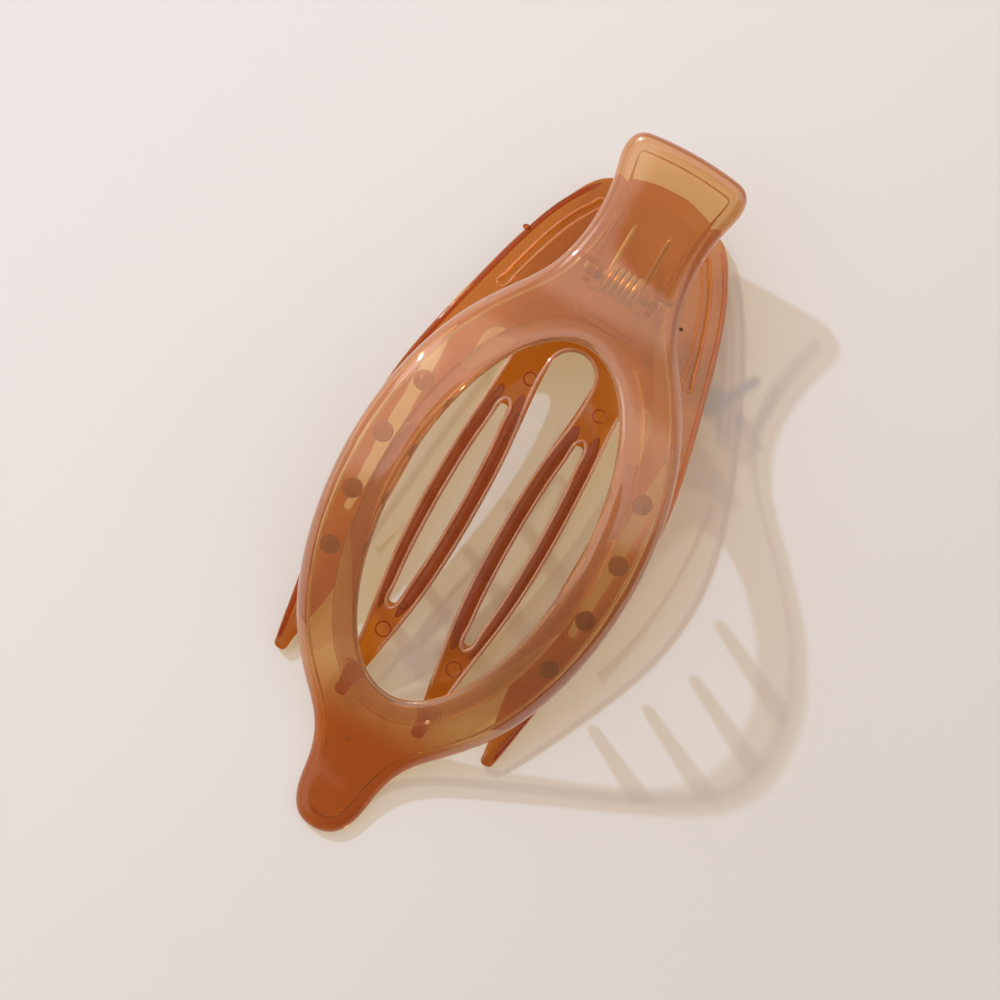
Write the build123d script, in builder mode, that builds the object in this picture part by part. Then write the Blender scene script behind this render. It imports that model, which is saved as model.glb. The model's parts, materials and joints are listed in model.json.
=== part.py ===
"""Spring-hinged flat hair clip: a pierced, arched upper jaw with a thumb lever over a comb-shaped lower jaw.

The clip lies along Y, its nose at -Y and its thumb lever at +Y, and rests on Z = 0 by the comb's tail and the tips
of its outer fingers. Lengths are in millimetres. Both jaws are plastic mouldings, the pin and the spring are steel.
"""

import os
from math import asin, atan2, cos, hypot, pi, sin, sqrt

from build123d import *

os.makedirs("parts", exist_ok=True)

# Upper jaw, along the clip: nose, pierced ring and thumb lever follow one another
nose_length = 26.4
opening_length = 66.6
lever_length = 37.0

# Across the clip: both jaws are as wide as each other
jaw_width = 53.8

# Upper jaw, across the clip
opening_width = 32.6
neck_width = 19.4
lever_width = 22.6
nose_width = 11.2
lever_corner_radius = 3.4
lever_end_bulge = 0.9

# Upper jaw, heights of its top surface over the table, on the centre line
crest_height = 33.4
lever_height = 22.0
nose_height = 2.4
upper_crown_radius = 75.0

# Upper jaw, walls
upper_wall = 1.4
upper_rim_depth = 3.2
nose_rim_depth = 2.1
outer_rim_width = 2.4
lever_lip = 3.2
opening_rim_width = 3.6
outer_edge_radius = 0.9
opening_edge_radius = 1.6

# Pegs that hang from the ring and hold the hair
peg_root_diameter = 3.5
peg_tip_diameter = 2.0
peg_tip_radius = 0.45 * peg_tip_diameter
peg_length = 13.4

# Lower jaw: an arched comb with a rounded tail under the lever
tail_setback = 6.0
finger_setback = 21.3
comb_height = 10.95
comb_thickness = 2.2
comb_crown_radius = 150.0
comb_edge_radius = 0.6

# Lower jaw, fingers and the gaps and slots that part them, which widen with the jaws
finger_tip_width = 0.041 * jaw_width
finger_tip_radius = 0.42 * finger_tip_width
middle_gap_width = 0.0875 * jaw_width
middle_gap_mouth_width = 0.238 * jaw_width
middle_gap_top_width = 0.149 * jaw_width
inner_finger_width = 0.1765 * jaw_width
side_gap_width = 0.0855 * jaw_width
inner_slot_width = 0.063 * jaw_width
outer_slot_width = 0.0485 * jaw_width
slot_end_width = 0.0242 * jaw_width
slot_end_radius = 0.42 * slot_end_width

# Lower jaw, groove round the tail for the fingers' grip
grip_inset = 3.0
grip_groove_width = 1.6
grip_groove_depth = 0.7
grip_length = 28.7

# Hinge under the neck: two ears of each jaw on a steel pin, the comb's between the lever's
hinge_setback = 12.2
hinge_height = 12.5
pin_diameter = 2.0
pin_length = 14.4
pin_end_chamfer = 0.25
pin_press_clearance = 0.01
pin_running_clearance = 0.06
comb_ear_spread = 7.8
comb_ear_thickness = 1.1
ear_side_clearance = 0.3
lever_ear_thickness = 1.2
ear_end_radius = 2.5
ear_root_width = 6.4
ear_root_height = 0.5
gusset_length = 2.2
gusset_thickness = 0.9
gusset_offset = 1.1

# Stop walls of the two jaws, which meet under the neck when the clip is shut
stop_width = 12.2
stop_thickness = 1.8
stop_setback = 4.6
stop_height = 12.0
stop_clearance = 0.3

# Torsion spring round the pin
wire_diameter = 1.0
coil_diameter = 4.8
coil_pitch = 1.15
coil_turns = 5
spring_leg_length = 11.0
spring_seat_clearance = 0.25
leg_bead_radius = 0.52 * wire_diameter

# Places worked out from the sizes above
clip_length = nose_length + opening_length + lever_length
nose_y = -clip_length / 2
opening_front_y = nose_y + nose_length
opening_back_y = opening_front_y + opening_length
opening_y = (opening_front_y + opening_back_y) / 2
lever_y = opening_back_y + lever_length
tail_y = lever_y - tail_setback
finger_y = nose_y + finger_setback
grip_start_y = tail_y - grip_length
hinge_y = opening_back_y + hinge_setback
stop_y = opening_back_y + stop_setback
comb_ear_x = comb_ear_spread / 2
lever_ear_x = comb_ear_x + comb_ear_thickness + ear_side_clearance
gusset_x = lever_ear_x + lever_ear_thickness
band_reach = 0.56 * jaw_width
cut_reach = 5.0


def along_upper(share):
    """Y of a station of the upper jaw: 0 at the nose, 1 and 2 at the opening's ends, 3 at the lever's end."""
    if share < 1:
        return nose_y + share * nose_length
    if share < 2:
        return opening_front_y + (share - 1) * opening_length
    return opening_back_y + (share - 2) * lever_length


def along_comb(share):
    """Y of a station of the lower jaw: 0 at the finger tips, 1 at the tail's end."""
    return finger_y + share * (tail_y - finger_y)


# Side profile of the upper jaw: Y, height of the top surface on the centre line, depth of the rim
upper_profile = [
    (along_upper(-0.04), 1.00 * nose_height, nose_rim_depth),
    (along_upper(0.34), 1.33 * nose_height, 1.15 * nose_rim_depth),
    (along_upper(0.72), 0.189 * crest_height, 0.94 * upper_rim_depth),
    (along_upper(1.07), 0.416 * crest_height, upper_rim_depth),
    (along_upper(1.28), 0.728 * crest_height, upper_rim_depth),
    (along_upper(1.46), 0.937 * crest_height, upper_rim_depth),
    (along_upper(1.655), 1.00 * crest_height, upper_rim_depth),
    (along_upper(1.82), 0.955 * crest_height, upper_rim_depth),
    (along_upper(1.97), 0.82 * crest_height, upper_rim_depth),
    (along_upper(2.19), 1.005 * lever_height, upper_rim_depth),
    (along_upper(2.38), 0.93 * lever_height, upper_rim_depth),
    (along_upper(2.62), 0.93 * lever_height, upper_rim_depth),
    (along_upper(2.84), 0.955 * lever_height, upper_rim_depth),
    (along_upper(3.03), 1.00 * lever_height, upper_rim_depth),
]

# Side profile of the comb: Y, height of the top surface on the centre line, thickness
comb_profile = [
    (along_comb(-0.022), 0.178 * comb_height, 0.80 * comb_thickness),
    (along_comb(0.023), 0.288 * comb_height, 0.80 * comb_thickness),
    (along_comb(0.114), 0.493 * comb_height, comb_thickness),
    (along_comb(0.250), 0.75 * comb_height, comb_thickness),
    (along_comb(0.391), 0.954 * comb_height, comb_thickness),
    (along_comb(0.529), 1.00 * comb_height, comb_thickness),
    (along_comb(0.669), 0.877 * comb_height, comb_thickness),
    (along_comb(0.796), 0.64 * comb_height, comb_thickness),
    (along_comb(0.912), 0.393 * comb_height, comb_thickness),
    (along_comb(1.01), 0.17 * comb_height, comb_thickness),
]

# Plan outline of the upper jaw, right half: X, Y
upper_flank = [
    (0.28 * nose_width, nose_y + 0.07 * nose_width),
    (0.50 * nose_width, along_upper(0.17)),
    (0.60 * nose_width, along_upper(0.40)),
    (0.168 * jaw_width, along_upper(0.62)),
    (0.243 * jaw_width, along_upper(0.80)),
    (0.328 * jaw_width, along_upper(1.00)),
    (0.431 * jaw_width, along_upper(1.16)),
    (0.482 * jaw_width, along_upper(1.32)),
    (0.50 * jaw_width, along_upper(1.50)),
    (0.486 * jaw_width, along_upper(1.66)),
    (0.443 * jaw_width, along_upper(1.82)),
    (0.368 * jaw_width, along_upper(1.96)),
    (0.292 * jaw_width, along_upper(2.10)),
    (0.63 * neck_width, along_upper(2.25)),
    (0.535 * neck_width, along_upper(2.40)),
    (0.50 * neck_width, along_upper(2.58)),
    (0.458 * lever_width, along_upper(2.75)),
    (0.50 * lever_width, along_upper(2.90)),
    (0.50 * lever_width, lever_y - lever_end_bulge),
]
nose_tangent = (1, 8 / 15)

# Plan outline of the comb, right half: X, Y
comb_flank = [
    (0.195 * jaw_width, along_comb(0.97)),
    (0.292 * jaw_width, along_comb(0.903)),
    (0.357 * jaw_width, along_comb(0.82)),
    (0.41 * jaw_width, along_comb(0.72)),
    (0.46 * jaw_width, along_comb(0.613)),
    (0.493 * jaw_width, along_comb(0.51)),
    (0.50 * jaw_width, along_comb(0.425)),
    (0.486 * jaw_width, along_comb(0.31)),
    (0.449 * jaw_width, along_comb(0.195)),
    (0.419 * jaw_width, along_comb(0.101)),
    (0.394 * jaw_width, along_comb(0.023)),
]
tail_tangent = (1, -0.45)

# Pegs on the ring: X, Y, length
peg_rows = [
    (0.383 * jaw_width, along_upper(1.728), 0.99 * peg_length),
    (0.414 * jaw_width, along_upper(1.570), 1.00 * peg_length),
    (0.410 * jaw_width, along_upper(1.413), 1.00 * peg_length),
    (0.389 * jaw_width, along_upper(1.262), 0.82 * peg_length),
]


def sag(x, radius):
    """How far a circle has dropped from its top at distance x."""
    return radius - sqrt(radius**2 - x**2)


def height_at(profile, y):
    """Height of the centre line at y, on straight lines between the profile's stations."""
    below = [row for row in profile if row[0] <= y][-1]
    above = [row for row in profile if row[0] > y][0]
    share = (y - below[0]) / (above[0] - below[0])
    return below[1] + share * (above[1] - below[1])


def arched_band(profile, crown_radius, roof_drop, floor_drop=None):
    """Band as wide as the clip between two surfaces that lie below a jaw's top surface.

    Both follow the side profile along the clip and are arcs of the crown radius across it. The roof lies roof_drop
    under the top, and the floor lies floor_drop under it, or the depth of each station where that is None.
    """
    edge_sag = sag(band_reach, crown_radius)
    with BuildPart() as band:
        for y, top, depth in profile:
            roof = top - roof_drop
            floor = top - (depth if floor_drop is None else floor_drop)
            with BuildSketch(Plane.XZ.offset(-y)):
                with BuildLine():
                    ThreePointArc((-band_reach, roof - edge_sag), (0, roof), (band_reach, roof - edge_sag))
                    Line((band_reach, roof - edge_sag), (band_reach, floor - edge_sag))
                    ThreePointArc((band_reach, floor - edge_sag), (0, floor), (-band_reach, floor - edge_sag))
                    Line((-band_reach, floor - edge_sag), (-band_reach, roof - edge_sag))
                make_face()
        loft()
    return band.part


def draw_both_sides(right_points, start_tangent, end_tangent):
    """Draws the smooth edge through points of the right half and its mirror image on the left."""
    for side in (-1, 1):
        points = [(side * x, y) for x, y in right_points]
        tangents = [(side * x, y) for x, y in (start_tangent, end_tangent)]
        Spline(*points, tangents=tangents, tangent_scalars=[1, 1])


def draw_cap(corner, crown_y):
    """Draws the round end between a corner of the right half and its mirror image."""
    ThreePointArc(corner, (0, crown_y), (-corner[0], corner[1]))


def shifted(points, distance):
    """Points of an edge moved to its left, square to the edge, as it runs from the first point to the last."""
    moved = []
    before = points[:1] + points
    after = points[1:] + points[-1:]
    for (x_before, y_before), (x, y), (x_after, y_after) in zip(before, points, after):
        span = hypot(x_after - x_before, y_after - y_before)
        moved.append((x - distance * (y_after - y_before) / span, y + distance * (x_after - x_before) / span))
    return moved


def upper_outline():
    """Plan outline of the upper jaw without its opening."""
    with BuildSketch() as outline:
        with BuildLine():
            draw_both_sides(upper_flank, nose_tangent, (0, 1))
            draw_cap(upper_flank[0], nose_y)
            draw_cap(upper_flank[-1], lever_y)
        make_face()
        lever_corners = outline.vertices().filter_by(lambda v: v.Y > lever_y - 2 * lever_end_bulge)
        fillet(lever_corners, lever_corner_radius)
    return outline.sketch


def pocket_outline():
    """Plan outline of the hollow under the upper jaw, inside the rim and ahead of the lever's lip."""
    corner = (lever_width / 2 - outer_rim_width, lever_y - lever_end_bulge - lever_lip)
    flank = shifted(upper_flank[1:-2], outer_rim_width) + [corner]
    with BuildSketch() as outline:
        with BuildLine():
            draw_both_sides(flank, (0.3, 1), (0, 1))
            draw_cap(flank[0], flank[0][1] - flank[0][0] / 2)
            draw_cap(corner, lever_y - lever_lip)
        make_face()
    return outline.sketch


def comb_outline(inset=0):
    """Plan outline of the lower jaw before its fingers are parted, or the line that runs inset within it."""
    flank = shifted(comb_flank, -inset)
    tip_x, tip_y = flank[-1]
    with BuildSketch() as outline:
        with BuildLine():
            draw_both_sides(flank, tail_tangent, (-0.2, -1))
            draw_cap(flank[0], tail_y - inset)
            Polyline((tip_x, tip_y), (0, finger_y), (-tip_x, tip_y))
        make_face()
    return outline.sketch


def lens(x, front_y, back_y, middle_width):
    """Long slot along Y with bowed sides and rounded ends."""
    middle_y = (front_y + back_y) / 2
    end_half = slot_end_width / 2
    with BuildSketch() as slot:
        with BuildLine():
            for side in (-1, 1):
                start = (x + side * end_half, front_y)
                end = (x + side * end_half, back_y)
                ThreePointArc(start, (x + side * middle_width / 2, middle_y), end)
            Line((x - end_half, front_y), (x + end_half, front_y))
            Line((x - end_half, back_y), (x + end_half, back_y))
        make_face()
        fillet(slot.vertices(), slot_end_radius)
    return slot.sketch


def comb_plan():
    """Plan of the lower jaw: tail, four tapered fingers and the long slots in them."""
    mouth_y = finger_y - cut_reach
    middle_half = middle_gap_width / 2
    mouth_half = middle_gap_mouth_width / 2
    inner_edge = middle_half + inner_finger_width
    outer_edge = inner_edge + side_gap_width
    inner_tip = mouth_half + finger_tip_width
    outer_tip = comb_flank[-1][0] - finger_tip_width
    middle_side = [
        (middle_gap_top_width / 2, along_comb(0.65)),
        (middle_half + 0.35 * (middle_gap_top_width / 2 - middle_half), along_comb(0.51)),
        (middle_half, along_comb(0.39)),
        (middle_half + 0.25 * (mouth_half - middle_half), along_comb(0.195)),
        (middle_half + 0.67 * (mouth_half - middle_half), along_comb(0.095)),
        (mouth_half, finger_y),
        (mouth_half, mouth_y),
    ]
    inner_side = [
        (0.90 * inner_edge, along_comb(0.635)),
        (inner_edge, along_comb(0.40)),
        (0.94 * inner_edge, along_comb(0.24)),
        (0.80 * inner_edge, along_comb(0.12)),
        (inner_tip, along_comb(0.02)),
        (inner_tip, mouth_y),
    ]
    outer_side = [
        (0.985 * outer_edge, along_comb(0.635)),
        (outer_edge, along_comb(0.40)),
        (outer_edge, along_comb(0.24)),
        (outer_edge + 0.34 * (outer_tip - outer_edge), along_comb(0.124)),
        (outer_tip, along_comb(0.03)),
        (outer_tip, mouth_y),
    ]
    gap_end_x = (inner_side[0][0] + outer_side[0][0]) / 2
    gap_end_y = along_comb(0.635) + (outer_side[0][0] - inner_side[0][0]) / 2
    inner_slot_x = middle_half + 0.52 * inner_finger_width
    outer_slot_x = (outer_edge + jaw_width / 2) / 2
    with BuildSketch() as plan:
        add(comb_outline())
        with BuildLine():
            draw_both_sides(middle_side, (0, -1), (0, -1))
            draw_cap(middle_side[0], middle_side[0][1] + middle_side[0][0])
            Line(middle_side[-1], (-mouth_half, mouth_y))
        make_face(mode=Mode.SUBTRACT)
        for side in (-1, 1):
            inner = [(side * x, y) for x, y in inner_side]
            outer = [(side * x, y) for x, y in outer_side]
            with BuildLine():
                Spline(*inner, tangents=[(0, -1), (0, -1)], tangent_scalars=[1, 1])
                Spline(*outer, tangents=[(0, -1), (0, -1)], tangent_scalars=[1, 1])
                ThreePointArc(inner[0], (side * gap_end_x, gap_end_y), outer[0])
                Line(inner[-1], outer[-1])
            make_face(mode=Mode.SUBTRACT)
        fillet(plan.vertices().filter_by(lambda v: v.Y < along_comb(0.026)), finger_tip_radius)
        for side in (-1, 1):
            inner_slot = lens(side * inner_slot_x, along_comb(0.182), along_comb(0.556), inner_slot_width)
            outer_slot = lens(side * outer_slot_x, along_comb(0.28), along_comb(0.63), outer_slot_width)
            add([inner_slot, outer_slot], mode=Mode.SUBTRACT)
    return plan.sketch


def ear_pair(inner_x, thickness, root_z, bore_radius):
    """Two flat ears from a jaw at root_z to the hinge axis, each rounded about its bore."""
    with BuildPart() as ears:
        for side in (-1, 1):
            with BuildSketch(Plane.YZ.offset(side * (inner_x + thickness / 2))):
                with Locations((hinge_y, hinge_height)):
                    Circle(ear_end_radius)
                with Locations((hinge_y, root_z)):
                    Rectangle(ear_root_width, ear_root_height)
                make_hull()
                with Locations((hinge_y, hinge_height)):
                    Circle(bore_radius, mode=Mode.SUBTRACT)
            extrude(amount=thickness / 2, both=True)
    return ears.part


def gussets():
    """Short webs that tie the lever's ears to the rim on each side, over the ends of the pin."""
    with BuildPart() as webs:
        with BuildSketch(Plane.XY.offset(hinge_height + ear_end_radius)):
            for side in (-1, 1):
                with Locations((side * (gusset_x + gusset_length / 2), hinge_y + gusset_offset)):
                    Rectangle(gusset_length + lever_ear_thickness, gusset_thickness)
        extrude(amount=crest_height)
    return webs.part


def stop_wall(low_z, high_z):
    """Upright wall across the clip between the hinge and the ring."""
    with BuildPart() as wall:
        with BuildSketch(Plane.XY.offset(low_z)):
            with Locations((0, stop_y)):
                Rectangle(stop_width, stop_thickness)
        extrude(amount=high_z - low_z)
    return wall.part


def peg(length):
    """Round tapered peg that hangs from its root at the origin, with a rounded tip."""
    with BuildPart() as body:
        hanging = (Align.CENTER, Align.CENTER, Align.MAX)
        Cone(peg_tip_diameter / 2, peg_root_diameter / 2, length, align=hanging)
        fillet(body.edges().sort_by(Axis.Z)[0], peg_tip_radius)
    return body.part


# Upper jaw: arched shell with a deep rim round its edge and round the opening, pegs, ears and a stop wall
with BuildPart() as pocket:
    with BuildSketch():
        add(pocket_outline())
        with Locations((0, opening_y)):
            Ellipse(
                opening_width / 2 + opening_rim_width,
                opening_length / 2 + opening_rim_width,
                mode=Mode.SUBTRACT,
            )
    extrude(amount=2 * crest_height)
    add(arched_band(upper_profile, upper_crown_radius, upper_wall, crest_height), mode=Mode.INTERSECT)

with BuildPart() as upper_fittings:
    add(ear_pair(lever_ear_x, lever_ear_thickness, lever_height, pin_diameter / 2 + pin_running_clearance))
    add(gussets())
    add(stop_wall(stop_height + stop_clearance, crest_height))
    for peg_x, peg_y, length in peg_rows:
        root_z = height_at(upper_profile, peg_y) - sag(peg_x, upper_crown_radius)
        with Locations((peg_x, peg_y, root_z), (-peg_x, peg_y, root_z)):
            add(peg(length))
    add(arched_band(upper_profile, upper_crown_radius, upper_wall / 2, crest_height), mode=Mode.INTERSECT)

with BuildPart() as upper_jaw:
    with BuildSketch():
        add(upper_outline())
        with Locations((0, opening_y)):
            Ellipse(opening_width / 2, opening_length / 2, mode=Mode.SUBTRACT)
    extrude(amount=2 * crest_height)
    add(arched_band(upper_profile, upper_crown_radius, 0), mode=Mode.INTERSECT)
    top_face = upper_jaw.faces().sort_by(SortBy.AREA)[-2:].sort_by(Axis.Z)[-1]
    fillet(top_face.inner_wires()[0].edges(), opening_edge_radius)
    top_face = upper_jaw.faces().sort_by(SortBy.AREA)[-2:].sort_by(Axis.Z)[-1]
    fillet(top_face.outer_wire().edges(), outer_edge_radius)
    add(pocket, mode=Mode.SUBTRACT)
    add(upper_fittings)

# Lower jaw: arched comb with four slotted fingers, a groove round the tail, ears and a stop wall
with BuildPart() as grip_groove:
    with BuildSketch():
        add(comb_outline(grip_inset))
        add(comb_outline(grip_inset + grip_groove_width), mode=Mode.SUBTRACT)
        with Locations((0, grip_start_y)):
            Rectangle(2 * jaw_width, clip_length, align=(Align.CENTER, Align.MAX), mode=Mode.SUBTRACT)
    extrude(amount=2 * comb_height)
    add(arched_band(comb_profile, comb_crown_radius, -cut_reach, grip_groove_depth), mode=Mode.INTERSECT)

with BuildPart() as comb_fittings:
    add(ear_pair(comb_ear_x, comb_ear_thickness, comb_height / 3, pin_diameter / 2 + pin_press_clearance))
    add(stop_wall(comb_height / 4, stop_height))
    add(arched_band(comb_profile, comb_crown_radius, -crest_height, comb_thickness / 2), mode=Mode.INTERSECT)

with BuildPart() as lower_jaw:
    with BuildSketch():
        add(comb_plan())
    extrude(amount=2 * comb_height)
    add(arched_band(comb_profile, comb_crown_radius, 0), mode=Mode.INTERSECT)
    top_face = lower_jaw.faces().sort_by(SortBy.AREA)[-2:].sort_by(Axis.Z)[-1]
    fillet(top_face.edges(), comb_edge_radius)
    add(grip_groove, mode=Mode.SUBTRACT)
    add(comb_fittings)

# Hinge pin
with BuildPart() as hinge_pin:
    with BuildSketch(Plane.YZ):
        with Locations((hinge_y, hinge_height)):
            Circle(pin_diameter / 2)
    extrude(amount=pin_length / 2, both=True)
    chamfer(hinge_pin.edges().filter_by(GeomType.CIRCLE), pin_end_chamfer)

# Torsion spring: coils round the pin, one leg under the lever and one leg on the tail
coil_radius = coil_diameter / 2
leg_y = hinge_y + spring_leg_length
leg_gap = spring_seat_clearance + wire_diameter / 2
leg_rise = height_at(upper_profile, leg_y) - upper_wall - leg_gap - hinge_height
leg_fall = hinge_height - height_at(comb_profile, leg_y) - leg_gap
upper_slope = atan2(leg_rise, spring_leg_length) - asin(coil_radius / hypot(leg_rise, spring_leg_length))
lower_slope = atan2(leg_fall, spring_leg_length) - asin(coil_radius / hypot(leg_fall, spring_leg_length))
coil_length = coil_pitch * (coil_turns + 0.5 - (upper_slope + lower_slope) / (2 * pi))
coil_start = Plane(
    origin=(-coil_length / 2, hinge_y, hinge_height),
    x_dir=(0, -sin(lower_slope), -cos(lower_slope)),
    z_dir=(1, 0, 0),
)


def spring_leg(start, end):
    """Straight leg of the spring, with a slight bead where it leaves the coil."""
    with BuildPart() as leg:
        with BuildLine():
            path = Line(start, end)
        with BuildSketch(Plane(origin=start, z_dir=path % 0)):
            Circle(wire_diameter / 2)
        sweep(path=path)
        with Locations(start):
            Sphere(leg_bead_radius)
    return leg.part


with BuildPart() as spring:
    coil = coil_start.location * Helix(coil_pitch, coil_length, coil_radius, lefthand=True, mode=Mode.PRIVATE)
    with BuildSketch(Plane(origin=coil @ 0, z_dir=coil % 0)):
        Circle(wire_diameter / 2)
    sweep(path=coil, is_frenet=True)
    add(spring_leg(coil @ 0, (-coil_length / 2, leg_y, hinge_height - leg_fall)))
    add(spring_leg(coil @ 1, (coil_length / 2, leg_y, hinge_height + leg_rise)))

for name, piece in (
    ("upper_jaw", upper_jaw),
    ("lower_jaw", lower_jaw),
    ("hinge_pin", hinge_pin),
    ("spring", spring),
):
    piece.part.label = name
    export_step(piece.part, f"parts/{name}.step")
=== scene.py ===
import json
from math import cos, radians, sin

import bmesh
import bpy
import numpy as np
from mathutils import Matrix, Vector


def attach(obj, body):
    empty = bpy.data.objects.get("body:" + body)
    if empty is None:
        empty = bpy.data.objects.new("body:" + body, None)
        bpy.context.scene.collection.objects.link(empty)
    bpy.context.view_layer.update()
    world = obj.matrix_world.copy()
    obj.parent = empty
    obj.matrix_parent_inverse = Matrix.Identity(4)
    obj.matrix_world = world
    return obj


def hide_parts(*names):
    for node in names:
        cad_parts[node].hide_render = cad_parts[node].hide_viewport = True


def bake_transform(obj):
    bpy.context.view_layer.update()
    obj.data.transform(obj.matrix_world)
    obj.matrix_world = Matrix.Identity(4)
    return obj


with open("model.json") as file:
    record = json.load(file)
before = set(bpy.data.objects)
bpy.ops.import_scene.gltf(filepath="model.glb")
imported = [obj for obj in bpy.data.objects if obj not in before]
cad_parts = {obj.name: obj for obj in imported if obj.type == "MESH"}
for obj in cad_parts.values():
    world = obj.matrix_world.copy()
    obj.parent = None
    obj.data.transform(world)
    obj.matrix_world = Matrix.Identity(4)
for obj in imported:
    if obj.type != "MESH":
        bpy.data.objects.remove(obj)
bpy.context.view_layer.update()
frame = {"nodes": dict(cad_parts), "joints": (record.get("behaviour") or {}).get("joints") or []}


# Camera. It stands 0.9 m above the table and looks straight down, as in the photograph. The clip's lever
# points to the upper right of the picture, 29.8 degrees off its upright.
camera_height, picture_width, sensor_width = 0.9, 0.170, 36.0
aim = (0.0, -0.00099)
tilt_across, tilt_along = 0.497, 0.868

camera_data = bpy.data.cameras.new("camera")
camera_data.sensor_width = sensor_width
camera_data.lens = sensor_width * camera_height / picture_width
camera = bpy.data.objects.new("camera", camera_data)
bpy.context.scene.collection.objects.link(camera)
camera.matrix_world = Matrix((
    (tilt_along, -tilt_across, 0, aim[0]),
    (tilt_across, tilt_along, 0, aim[1]),
    (0, 0, 1, camera_height),
    (0, 0, 0, 1),
))
bpy.context.scene.camera = camera
bpy.context.scene.view_settings.view_transform = "Standard"


# Room. It is a white studio, bright all round but dark where the photographer stands below the picture, round
# the camera overhead and at a doorway beyond the lever. Its light gives the plastic its soft sheen and fills
# the shadows.
class Sock:
    """A value from a node, so that shader maths reads as arithmetic."""

    def __init__(self, shade, output):
        self.shade = shade
        self.output = output

    def maths(self, operation, *values):
        """Adds a Math node on the values, in their order."""
        return self.shade.node("ShaderNodeMath", {"operation": operation}, dict(enumerate(values)))

    def __add__(self, other):
        return self.maths("ADD", self, other)

    __radd__ = __add__

    def __sub__(self, other):
        return self.maths("SUBTRACT", self, other)

    def __rsub__(self, other):
        return self.maths("SUBTRACT", other, self)

    def __mul__(self, other):
        return self.maths("MULTIPLY", self, other)

    __rmul__ = __mul__


class Shade:
    """The node tree of a material or of the room, whose nodes are added one call at a time."""

    def __init__(self, owner, output="ShaderNodeOutputMaterial"):
        owner.use_nodes = True
        self.owner = owner
        self.tree = owner.node_tree
        self.tree.nodes.clear()
        self.ending = self.tree.nodes.new(output)

    def node(self, kind, settings=None, values=None, out=0):
        """Adds a node, makes its settings and then its sockets' values or links, and returns one output."""
        made = self.tree.nodes.new(kind)
        for name, value in (settings or {}).items():
            setattr(made, name, value)
        for name, value in (values or {}).items():
            if isinstance(value, Sock):
                self.tree.links.new(value.output, made.inputs[name])
            else:
                made.inputs[name].default_value = value
        return Sock(self, made.outputs[out])

    def fade(self, vector, way, low, high):
        """How far a vector reaches along a way, eased from 0 at low to 1 at high, whichever is the larger."""
        pair = {0: vector, 1: way}
        reach = self.node("ShaderNodeVectorMath", {"operation": "DOT_PRODUCT"}, pair, out="Value")
        return self.node("ShaderNodeMapRange", {"interpolation_type": "SMOOTHSTEP"}, {
            "Value": reach, "From Min": low, "From Max": high,
        })

    def noise(self, place, scale, detail=2, roughness=0.5):
        """Soft noise round 0.5 on a place."""
        look = {"Vector": place, "Scale": scale, "Detail": detail, "Roughness": roughness}
        return self.node("ShaderNodeTexNoise", {}, look)

    def colours(self, share, first, second):
        """Blend of two colours by a share."""
        pair = {0: share, 6: (*first, 1), 7: (*second, 1)}
        return self.node("ShaderNodeMix", {"data_type": "RGBA"}, pair, out=2)

    def together(self, way, first, second):
        """Two colours that come from nodes, multiplied or added."""
        pair = {0: 1.0, 6: first, 7: second}
        return self.node("ShaderNodeMix", {"data_type": "RGBA", "blend_type": way}, pair, out=2)

    def finish(self, surface):
        """Sends a shader to the output and returns what owns the tree."""
        self.tree.links.new(surface.output, self.ending.inputs["Surface"])
        return self.owner


lamp_bearing, lamp_climb = (-0.900, 0.435), radians(33.4)
lamp_way = Vector((lamp_bearing[0] * cos(lamp_climb), lamp_bearing[1] * cos(lamp_climb), sin(lamp_climb)))
photographer_way, camera_way = (tilt_across, -tilt_along, 0), Vector((0.15, -0.10, 1.0)).normalized()
window_way, doorway_way, upwards = (-0.80, 0.60, 0), (0.10, 0.995, 0), (0, 0, 1)

# Where each part of the room begins and is full, as the cosine of the angle from its own way.
photographer_edge, camera_edge, wall_top = (0.42, 0.22), (0.965, 0.935), (0.40, 0.50)
window_edge, doorway_edge, glow_edge = (-0.7, 0.7), (0.72, 0.88), (0.93, 0.985)

far_wall, window_wall, lamp_glow = (0.98, 0.92, 0.89), (1.10, 1.04, 1.07), (2.0, 1.92, 1.88)
unlit, lit, black = (0.14, 0.125, 0.12), (1, 1, 1), (0, 0, 0)
low_wall_light, doorway_shade = 0.45, 0.6

world = bpy.data.worlds.new("room")
room = Shade(world, "ShaderNodeOutputWorld")
towards = room.node("ShaderNodeTexCoord", out="Generated")
off_photographer = room.fade(towards, photographer_way, *photographer_edge)
off_camera = room.fade(towards, camera_way, *camera_edge)
above_wall = room.fade(towards, upwards, *wall_top)
in_doorway = room.fade(towards, doorway_way, *doorway_edge)
walls = room.colours(room.fade(towards, window_way, *window_edge), far_wall, window_wall)
height_light = low_wall_light + (1 - low_wall_light) * above_wall
light_share = off_photographer * off_camera * height_light * (1 - doorway_shade * in_doorway)
lit_walls = room.together("MULTIPLY", walls, room.colours(light_share, unlit, lit))
glow = room.colours(room.fade(towards, lamp_way, *glow_edge), black, lamp_glow)
room_colour = room.together("ADD", lit_walls, glow)
room.finish(room.node("ShaderNodeBackground", {}, {"Color": room_colour, "Strength": 1.0}))
bpy.context.scene.world = world


# Key lamp. One small bare lamp low on the left, in front of its own glow, throws the long, fairly sharp
# shadow.
lamp_data = bpy.data.lights.new("key_lamp", "SUN")
lamp_data.energy = 2.22
lamp_data.color = (1.0, 0.965, 0.93)
lamp_data.angle = radians(1.6)
key_lamp = bpy.data.objects.new("key_lamp", lamp_data)
bpy.context.scene.collection.objects.link(key_lamp)
key_lamp.matrix_world = lamp_way.to_track_quat("Z", "Y").to_matrix().to_4x4()


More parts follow.
